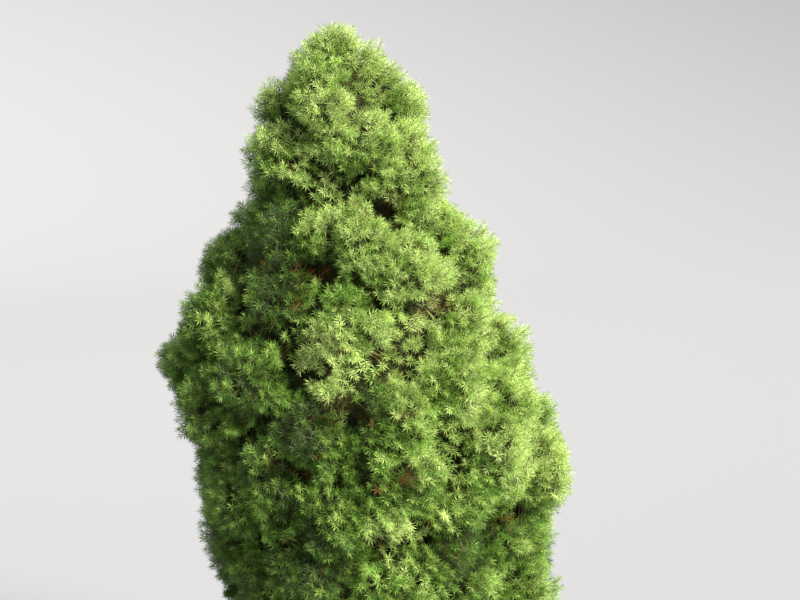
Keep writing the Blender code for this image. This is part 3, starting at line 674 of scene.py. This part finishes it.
hearts = [ballMesh(c, r * thicket["core"]) for c, r in zip(centres, radii)]
material = thicketShadeMaterial()
keep(buildMesh("thicket_hearts", *joined(hearts), material, True), "needles", *foliageNodes)
keep(buildMesh("thicket_lining", *liningMesh(), material, True), "needles")
print("thicket made")


# Trunk and boughs with the relief of thin scaly bark

bark = dict(
    trunkRadius=0.0185, tipRadius=0.0042, top=1.080, buried=0.004,
    taper=0.9, crowding=1.4,  # the powers of its taper and of how its rings crowd towards the foot
    flare=0.014, flareHeight=0.030, lobes=4, lobeDepth=0.45,
    scale=0.006, relief=0.0011, squash=0.55,  # scales are longer up the limb, by one over the squash
    boughRings=48, boughSides=24,
)


def barkMaterial():
    # dwarf spruce bark: thin ragged grey-brown scales some 5 mm across with darker edges, matt
    material, tree, shader = newMaterial("spruceBark", Roughness=0.88, IOR=1.45)
    vector = addNode(tree, "ShaderNodeTexCoord").outputs["Object"]
    stretch = addNode(tree, "ShaderNodeMapping", {"Vector": vector}, Scale=(1.0, 1.0, bark["squash"]))
    vector = stretch.outputs["Vector"]
    noise = addNode(tree, "ShaderNodeTexNoise", {"Vector": vector}, Scale=perMetre(7), Detail=6.0)
    torn = addNode(tree, "ShaderNodeVectorMath", {0: noise.outputs["Color"]}, operation="SCALE", Scale=0.012)
    ragged = addNode(tree, "ShaderNodeVectorMath", {0: vector, 1: torn.outputs["Vector"]}, operation="ADD")
    scales = addNode(tree, "ShaderNodeTexVoronoi", {"Vector": ragged.outputs["Vector"]},
                     feature="DISTANCE_TO_EDGE", Scale=perMetre(4.8))
    ramp = addNode(tree, "ShaderNodeValToRGB", {"Fac": noise.outputs["Fac"]},
                   ((0.30, "#3B2A1F"), (0.50, "#6B5543"), (0.62, "#8A7562"), (0.75, "#A39180")))
    edge = addNode(tree, "ShaderNodeValToRGB", {"Fac": scales.outputs["Distance"]},
                   ((0.0, "#8C7C70"), (0.16, "#FFFFFF")))
    # of this node's sockets 6 and 7 are the two colours, and output 2 is the colour they make
    mix = addNode(tree, "ShaderNodeMix", {6: ramp.outputs["Color"], 7: edge.outputs["Color"]},
                  data_type="RGBA", blend_type="MULTIPLY", Factor=1.0)
    bump = addNode(tree, "ShaderNodeBump", {"Height": noise.outputs["Fac"]}, Strength=0.8, Distance=0.0012)
    tree.links.new(mix.outputs[2], shader.inputs["Base Color"])
    tree.links.new(bump.outputs["Normal"], shader.inputs["Normal"])
    return material


def limbMesh(line, radius, columns):
    # rings square to a line of points, with scaly relief from soft noise
    ring = ringsAlong(line[None], columns)[0]
    points = (line[:, None] + ring * radius[..., None]).reshape(-1, 3)
    scaly = np.abs(waves(points * [1, 1, bark["squash"]], bark["scale"], seed=61, count=12))
    points = points - ring.reshape(-1, 3) * (scaly * bark["relief"])[:, None]
    return np.concatenate([points, line[[0, -1]]]), closedFaces(len(line), columns)


def trunkMesh(rows=320, columns=64):
    # the radius runs as a power of the distance from the top, and the foot flares into rounded lobes
    foot = crown["soil"] - bark["buried"]
    height = foot + (bark["top"] - foot) * np.linspace(0, 1, rows) ** bark["crowding"]
    share = np.clip((bark["top"] - height) / (bark["top"] - crown["soil"]), 0, 1)
    radius = bark["tipRadius"] + (bark["trunkRadius"] - bark["tipRadius"]) * share ** bark["taper"]
    flare = bark["flare"] * np.clip(1 - (height - crown["soil"]) / bark["flareHeight"], 0, 1) ** 2
    turn = np.arange(columns) * 2 * math.pi / columns
    lobes = flare[:, None] * (1 + bark["lobeDepth"] * np.cos(bark["lobes"] * turn))
    return limbMesh(axisAt(height), radius[:, None] + lobes, columns)


material = barkMaterial()
keep(buildMesh("trunk_bark", *trunkMesh(), material, True), "bark", "trunk")
limbs = []
for mass in np.flatnonzero(slopes):
    line = boughLine(mass, bark["boughRings"])
    radius = np.linspace(crown["boughRadius"], crown["boughTip"], bark["boughRings"])[:, None]
    limbs.append(limbMesh(line, radius * np.ones(bark["boughSides"]), bark["boughSides"]))
keep(buildMesh("bough_bark", *joined(limbs), material, True), "bark", *boughNodes)
print("trunk and", len(limbs), "boughs barked")


# Potting mix: a crumbly disc with bark chips and shed needles lying on it

soil = dict(
    edge=0.268, middle=0.274, mound=0.060,  # levels at the wall and in the middle, and the middle's radius
    floor=0.0163, wallGap=0.00045, sideTop=0.262,
    crumbs=0.0016, lowered=1.6,  # their height, and how many times that the top is lowered for them
    rough=((0.017, 0.90, 9), (0.006, 0.60, 14), (0.0028, 0.35, 14)),  # length, share and number of waves
    offTrunk=0.036, offWall=0.010,  # where nothing lies on it
    chips=900, chipSize=((0.005, 0.016), (0.003, 0.008), (0.0012, 0.0032)),  # long, wide and thick
    chipShake=(0.7, 1.15), chipTilt=0.3, chipLean=0.2, chipLift=0.0008,
    shed=1400, shedLength=(0.008, 0.011), shedTilt=(0.05, 0.15), shedLift=0.0012,
    shedHalf=0.00055, shedRidge=0.0006, shedMiddle=0.45,
)
pot = dict(
    height=0.300, base=0.130, neck=0.172, rim=0.186,  # radii of the foot, the wall's top and the rim
    band=0.052,  # the rim band's height
    wall=0.013, rimWall=0.0176, floor=0.016, groove=0.002, fillet=0.004, middle=0.02,
    rounding=0.005, bandRounding=0.0025, lipRounding=0.003,  # the last is on the rim's inner edge
    holes=5, holeRadius=0.007, holeCircle=0.068, holeTurn=0.35, drill=(-0.02, 0.04),
)


def innerRadius(height):
    # the inside of the pot's wall widens evenly from its floor to its rim
    share = (height - pot["floor"]) / (pot["height"] - pot["floor"])
    foot = pot["base"] - pot["wall"]
    return foot + (pot["rim"] - pot["rimWall"] - foot) * share


def mixHeight(x, y):
    # flat in the middle and sinking to the wall, with clods, crumbs and grit of soft noise, all lowered
    # so that few of them stand above the level
    away = np.hypot(x, y)
    fall = np.clip((away - soil["mound"]) / (innerRadius(soil["edge"]) - soil["mound"]), 0, 1)
    flat = np.stack([x, y, 0 * x], -1)
    rough = 0.0
    for seed, (length, share, count) in enumerate(soil["rough"], 81):
        rough = rough + waves(flat, length, seed, count) * share
    level = soil["middle"] + (soil["edge"] - soil["middle"]) * fall
    return level + (rough - soil["lowered"]) * soil["crumbs"]


def mixMesh(rings=70, columns=200, sideRings=8):
    # from the middle of the floor out, up the wall, and in over the crumbly top
    levels = np.linspace(soil["floor"], soil["sideTop"], sideRings)
    away = np.linspace(innerRadius(soil["edge"]) - soil["wallGap"], 0, rings)[:-1]
    radius = np.concatenate([innerRadius(levels) - soil["wallGap"], away])
    points = turned(radius, np.concatenate([levels, 0 * away + soil["edge"]]), columns)
    top = np.r_[sideRings * columns:len(points) - 2, len(points) - 1]
    points[top, 2] = mixHeight(points[top, 0], points[top, 1])
    return points, closedFaces(len(radius), columns)


def scatterOnMix(count, rng):
    # even over the disc's area, and off the trunk's flare
    furthest = innerRadius(soil["edge"]) - soil["offWall"]
    away = np.sqrt(rng.uniform(soil["offTrunk"] ** 2, furthest**2, count))
    turn = rng.uniform(0, 2 * math.pi, count)
    x, y = away * np.cos(turn), away * np.sin(turn)
    return np.stack([x, y, mixHeight(x, y)], -1)


def chipMesh(count):
    # each chip is a box with its corners shaken, lying nearly flat on the mix
    rng = np.random.default_rng(84)
    corner = np.array([[x, y, z] for z in (-1, 1) for y in (-1, 1) for x in (-1, 1)]) / 2
    size = np.stack([rng.uniform(least, most, count) for least, most in soil["chipSize"]], -1)
    box = corner * size[:, None] * rng.uniform(*soil["chipShake"], (count, 8, 3))
    turn = rng.uniform(0, 2 * math.pi, count)
    tip = rng.normal(0, soil["chipTilt"], count)
    roll = rng.normal(0, soil["chipTilt"], count)
    ahead = np.stack([np.cos(turn) * np.cos(tip), np.sin(turn) * np.cos(tip), np.sin(tip)], -1)
    up = unit(np.stack([np.sin(roll), soil["chipLean"] * np.sin(tip), np.ones(count)], -1))
    side = unit(np.cross(up, ahead))
    up = np.cross(ahead, side)
    axes = np.stack([ahead, side, up], 1)
    points = scatterOnMix(count, rng)[:, None] + box @ axes + [0, 0, soil["chipLift"]]
    quads = np.array([[0, 2, 3, 1], [4, 5, 7, 6], [0, 1, 5, 4], [2, 6, 7, 3], [0, 4, 6, 2], [1, 3, 7, 5]])
    faces = quads + np.arange(count)[:, None, None] * 8
    return points.reshape(-1, 3), faces.reshape(-1, 4)


def shedMesh(count):
    # shed needles: slivers lying on the mix
    rng = np.random.default_rng(85)
    foot = scatterOnMix(count, rng) + [0, 0, soil["shedLift"]]
    turn = rng.uniform(0, 2 * math.pi, count)
    ahead = unit(np.stack([np.cos(turn), np.sin(turn), rng.normal(*soil["shedTilt"], count)], -1))
    side = unit(np.cross([0, 0, 1], ahead))
    long = rng.uniform(*soil["shedLength"], (count, 1))
    middle = foot + ahead * long * soil["shedMiddle"] + [0, 0, soil["shedRidge"]]
    half = side * soil["shedHalf"]
    return bladeMesh(np.stack([foot, foot + ahead * long, middle + half, middle - half], 1))


def mixMaterial():
    # bark-based potting mix, moist: near-black brown crumbs with lighter fibres, quite matt
    material, tree, shader = newMaterial("pottingMix", Roughness=0.96, IOR=1.4)
    vector = addNode(tree, "ShaderNodeTexCoord").outputs["Object"]
    grain = addNode(tree, "ShaderNodeTexNoise", {"Vector": vector},
                    Scale=perMetre(3.8), Detail=6.0, Roughness=0.65)
    ramp = addNode(tree, "ShaderNodeValToRGB", {"Fac": grain.outputs["Fac"]},
                   ((0.30, "#1A120D"), (0.50, "#35261B"), (0.64, "#5A4331"), (0.78, "#7D6650")))
    bump = addNode(tree, "ShaderNodeBump", {"Height": grain.outputs["Fac"]}, Strength=1.0, Distance=0.002)
    tree.links.new(ramp.outputs["Color"], shader.inputs["Base Color"])
    tree.links.new(bump.outputs["Normal"], shader.inputs["Normal"])
    return material


keep(buildMesh("potting_mix_top", *mixMesh(), mixMaterial(), True), "potting_mix", "potting_mix")
chipBark = twigMaterial("barkChip", "#3A2618", "#8A6848")
keep(buildMesh("bark_chips", *chipMesh(soil["chips"]), chipBark), "potting_mix")
dryNeedle = twigMaterial("shedNeedle", "#7A5A34", "#A98A58")
keep(buildMesh("shed_needles", *shedMesh(soil["shed"]), dryNeedle), "potting_mix")
print("potting mix laid")


# Pot: thrown and fired clay with a banded rim

def arc(centreR, centreZ, radius, start, stop, count):
    # points of a circle's arc in the pot's profile, angles in degrees
    a = np.radians(np.linspace(start, stop, count))
    return np.stack([centreR + radius * np.cos(a), centreZ + radius * np.sin(a)], -1)


def potMesh(columns=160, upRows=34, downRows=30):
    # a closed profile of radius and height, turned about the upright axis: the foot's rounded edge, the
    # outer wall, the band's lower and upper edges, the lip, the inner wall and the floor
    h, r, small, lip = (pot[k] for k in ("height", "rounding", "bandRounding", "lipRounding"))
    band = h - pot["band"]
    up = np.linspace((pot["base"], r), (pot["neck"], band - pot["groove"]), upRows)[1:]
    down = np.linspace(h - r, pot["floor"] + pot["fillet"], downRows)
    profile = np.concatenate([
        [[pot["middle"], 0.0]],
        arc(pot["base"] - r, r, r, -90, -8, 8),
        up,
        arc(pot["rim"] - small, band + small, small, -80, 0, 6),
        arc(pot["rim"] - r, h - r, r, 0, 90, 9),
        arc(innerRadius(h) + lip, h - lip, lip, 90, 178, 6),
        np.stack([innerRadius(down), down], -1),
        [[innerRadius(pot["floor"]) - pot["fillet"], pot["floor"]], [pot["middle"], pot["floor"]]],
    ])
    return turned(profile[:, 0], profile[:, 1], columns), closedFaces(len(profile), columns)


def clayMaterial():
    # unglazed fired earthenware: matt orange-brown with a fine sandy grain, turning marks, and pale
    # lime bloom that creeps up from the base
    material, tree, shader = newMaterial("firedClay", Roughness=0.86, IOR=1.5)
    vector = addNode(tree, "ShaderNodeTexCoord").outputs["Object"]
    cloud = addNode(tree, "ShaderNodeTexNoise", {"Vector": vector},
                    Scale=perMetre(110), Detail=6.0, Roughness=0.6)
    clay = addNode(tree, "ShaderNodeValToRGB", {"Fac": cloud.outputs["Fac"]},
                   ((0.30, "#7F4430"), (0.50, "#96563F"), (0.70, "#A87056")))
    height = addNode(tree, "ShaderNodeSeparateXYZ", {"Vector": vector})
    creep = addNode(tree, "ShaderNodeMapRange", {"Value": height.outputs["Z"]},
                    From_Min=0.0, From_Max=0.16, To_Min=0.16, To_Max=-0.10)
    patch = addNode(tree, "ShaderNodeTexNoise", {"Vector": vector},
                    Scale=perMetre(62), Detail=9.0, Roughness=0.72)
    total = addNode(tree, "ShaderNodeMath", {0: patch.outputs["Fac"], 1: creep.outputs["Result"]},
                    operation="ADD")
    bloom = addNode(tree, "ShaderNodeValToRGB", {"Fac": total.outputs["Value"]},
                    ((0.52, "#000000"), (0.76, "#B0B0B0")))
    # the bloom is the mix's factor, and the pale lime its second colour
    mix = addNode(tree, "ShaderNodeMix", {0: bloom.outputs["Color"], 6: clay.outputs["Color"]},
                  data_type="RGBA")
    mix.inputs[7].default_value = linear("#C9B5A4")
    # at scale 1 this node has ten over pi waves a metre, and turning marks stand 8.3 mm apart
    turning = addNode(tree, "ShaderNodeTexWave", {"Vector": vector}, bands_direction="Z",
                      Scale=perMetre(8.3) * math.pi / 10, Distortion=1.2)
    grain = addNode(tree, "ShaderNodeTexNoise", {"Vector": vector}, Scale=perMetre(1.1), Detail=3.0)
    rings = addNode(tree, "ShaderNodeBump", {"Height": turning.outputs["Fac"]},
                    Strength=0.25, Distance=0.0008)
    relief = {"Height": grain.outputs["Fac"], "Normal": rings.outputs["Normal"]}
    bump = addNode(tree, "ShaderNodeBump", relief, Strength=0.5, Distance=0.0004)
    tree.links.new(mix.outputs[2], shader.inputs["Base Color"])
    tree.links.new(bump.outputs["Normal"], shader.inputs["Normal"])
    return material


def drainCutter(angle, columns=24):
    # an upright rod through the pot's floor
    place = [pot["holeCircle"] * math.cos(angle), pot["holeCircle"] * math.sin(angle), 0]
    return turned([pot["holeRadius"]] * 2, pot["drill"], columns) + place, closedFaces(2, columns)


clay = clayMaterial()
potPiece = buildMesh("clay_pot", *potMesh(), clay, True)
angles = 2 * math.pi * (np.arange(pot["holes"]) + pot["holeTurn"]) / pot["holes"]
cutter = buildMesh("drain_cutter", *joined([drainCutter(a) for a in angles]), clay)
cut = potPiece.modifiers.new("Drain holes", "BOOLEAN")
cut.operation, cut.solver, cut.object = "DIFFERENCE", "EXACT", cutter
with bpy.context.temp_override(object=potPiece, active_object=potPiece):
    bpy.ops.object.modifier_apply(modifier=cut.name)
bpy.data.objects.remove(cutter)
potPiece.data.set_sharp_from_angle(angle=math.radians(40))
keep(potPiece, "clay", "pot")
print("pot made")


# Stage: a pale round backdrop, soft lights and the camera at the photograph's angle

stage = dict(
    middle=0.05, floor=4.5, bend=2.0, wall=3.4,  # radii of its first ring, floor and bend; the wall's height
    under=0.0005,  # this far under the pot
    paper="#6C6D70", glowColour="#F2F3F5", glow=0.46, sky="#F0F1EE", skyStrength=0.33,
)
camera = dict(place=(0.012, -1.60, 1.12), pitch=-10.6, lens=51.75)
sun = dict(azimuth=-28.0, elevation=40.0, softness=22.0, strength=7.9, colour="#FFF7EC")
lights = (  # name, place, size, power, colour, aimed at
    ("fill", (-2.6, -2.4, 1.6), 2.4, 3.0, "#E6EDF5", (0.0, 0.0, 0.70)),
    ("back", (-0.8, 2.8, 2.6), 1.8, 30.0, "#FFFFFF", (0.0, 0.0, 0.80)),
)


def stageMesh(columns=96, floorRings=12, bendRings=16):
    # a flat floor that curves up into a wall all round, facing in
    bend = np.radians(np.linspace(0, 90, bendRings))[1:]
    flat = np.linspace(stage["middle"], stage["floor"], floorRings)
    outwards = stage["floor"] + stage["bend"] * np.sin(bend)
    radius = np.concatenate([flat, outwards, [stage["floor"] + stage["bend"]]])
    height = np.concatenate([0 * flat, stage["bend"] * (1 - np.cos(bend)), [stage["wall"]]])
    inwards = closedFaces(len(radius), columns)[:-columns, ::-1]  # without the last ring's cap
    return turned(radius, height, columns)[:-1], inwards


# matt backdrop paper, pale, that glows faintly, so that the side away from the sun isn't dark
paper = newMaterial("backdropPaper", Base_Color=linear(stage["paper"]), Roughness=0.9,
                    Emission_Color=linear(stage["glowColour"]), Emission_Strength=stage["glow"])[0]
floor = buildMesh("backdrop", *stageMesh(), paper, True)
floor.location.z = -stage["under"]
floor.visible_shadow = False  # the sun stands lower than the top of the wall


def hangLamp(name, kind, strength, colour, place, target):
    # a lamp shines down its own -Z, so it tilts by its height over the target and turns to face it
    lamp = bpy.data.lights.new(name, kind)
    lamp.energy, lamp.color = strength, linear(colour)[:3]
    holder = bpy.data.objects.new(name, lamp)
    bpy.context.scene.collection.objects.link(holder)
    holder.location = place
    away = np.array(place) - np.array(target)
    pitch = math.atan2(math.hypot(away[0], away[1]), away[2])
    holder.rotation_euler = (pitch, 0, math.atan2(away[1], away[0]) + math.pi / 2)
    return lamp


for name, place, size, power, colour, target in lights:
    hangLamp(name, "AREA", power, colour, place, target).size = size
azimuth, elevation = math.radians(sun["azimuth"]), math.radians(sun["elevation"])
flat = math.cos(elevation)
place = (math.cos(azimuth) * flat, math.sin(azimuth) * flat, math.sin(elevation))
sunLamp = hangLamp("sun", "SUN", sun["strength"], sun["colour"], place, (0, 0, 0))
sunLamp.angle = math.radians(sun["softness"])

bpy.context.scene.view_settings.view_transform = "Standard"
world = bpy.data.worlds.new("studio")
world.use_nodes = True
background = world.node_tree.nodes["Background"]
background.inputs["Color"].default_value = linear(stage["sky"])
background.inputs["Strength"].default_value = stage["skyStrength"]
bpy.context.scene.world = world

view = bpy.data.objects.new("camera", bpy.data.cameras.new("camera"))
bpy.context.scene.collection.objects.link(view)
view.location = camera["place"]
view.rotation_euler = (math.radians(90 + camera["pitch"]), 0, 0)
view.data.lens = camera["lens"]
bpy.context.scene.camera = view
print("stage lit")
